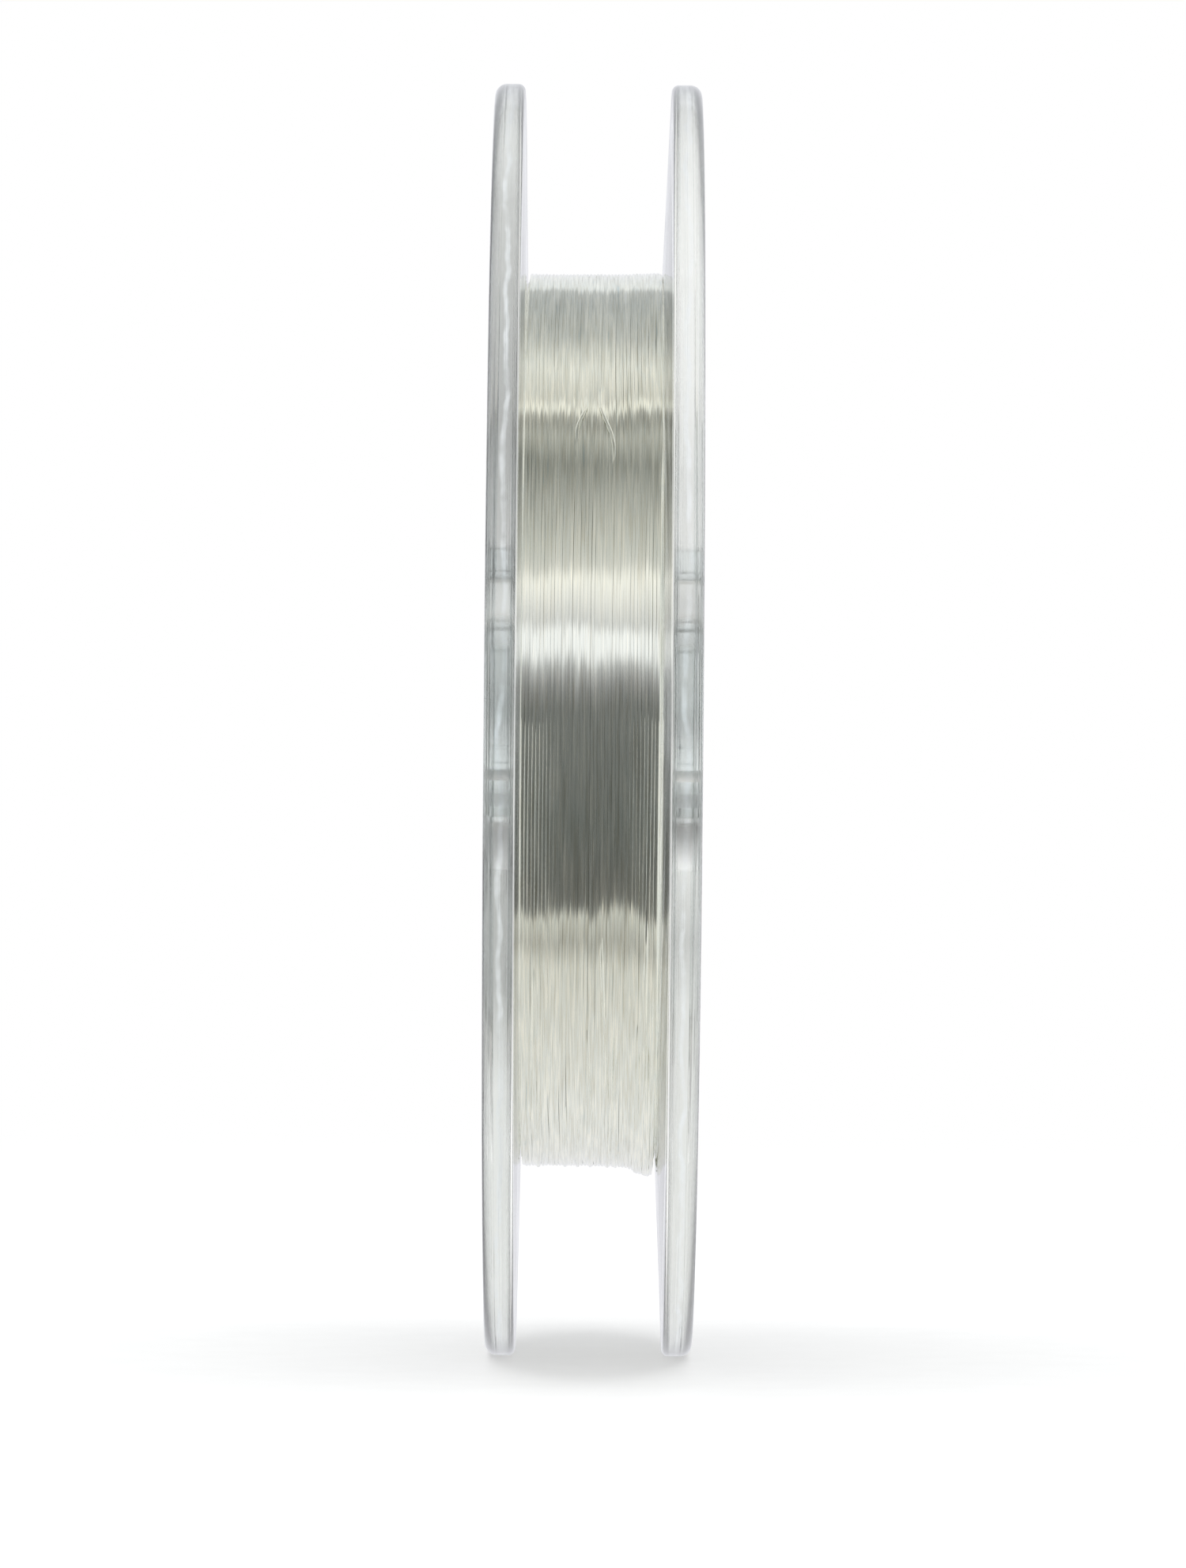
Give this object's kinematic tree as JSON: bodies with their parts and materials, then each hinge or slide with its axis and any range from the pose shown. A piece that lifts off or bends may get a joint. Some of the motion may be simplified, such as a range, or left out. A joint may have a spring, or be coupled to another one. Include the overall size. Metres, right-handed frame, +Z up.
{
  "type": "line spool",
  "caption": "Narrow clear plastic spool with two rimmed flanges, wound with very fine clear monofilament line.",
  "frame": {"origin": "centre of the axle bore, midway between the flanges", "axes": "+Y along the spool's axis towards the right flange, +Z up with the spool standing on its rims, +X towards the viewer of the winding"},
  "size_m": [0.068, 0.011, 0.068],
  "materials": {
    "clear_plastic": "water-clear, glossy, with a slight blue-grey tint",
    "monofilament": "fine clear line, silvery along its turns",
    "clear_tape": "thin, glossy",
    "label_paper": "smooth white paper, blank"
  },
  "bodies": {
    "root": {"flange_left": "clear_plastic", "flange_right": "clear_plastic", "hub_core": "clear_plastic", "wound_line": "monofilament", "start_tape": "clear_tape", "end_tape": "clear_tape", "label_left": "label_paper", "label_right": "label_paper"}
  },
  "joints": []
}
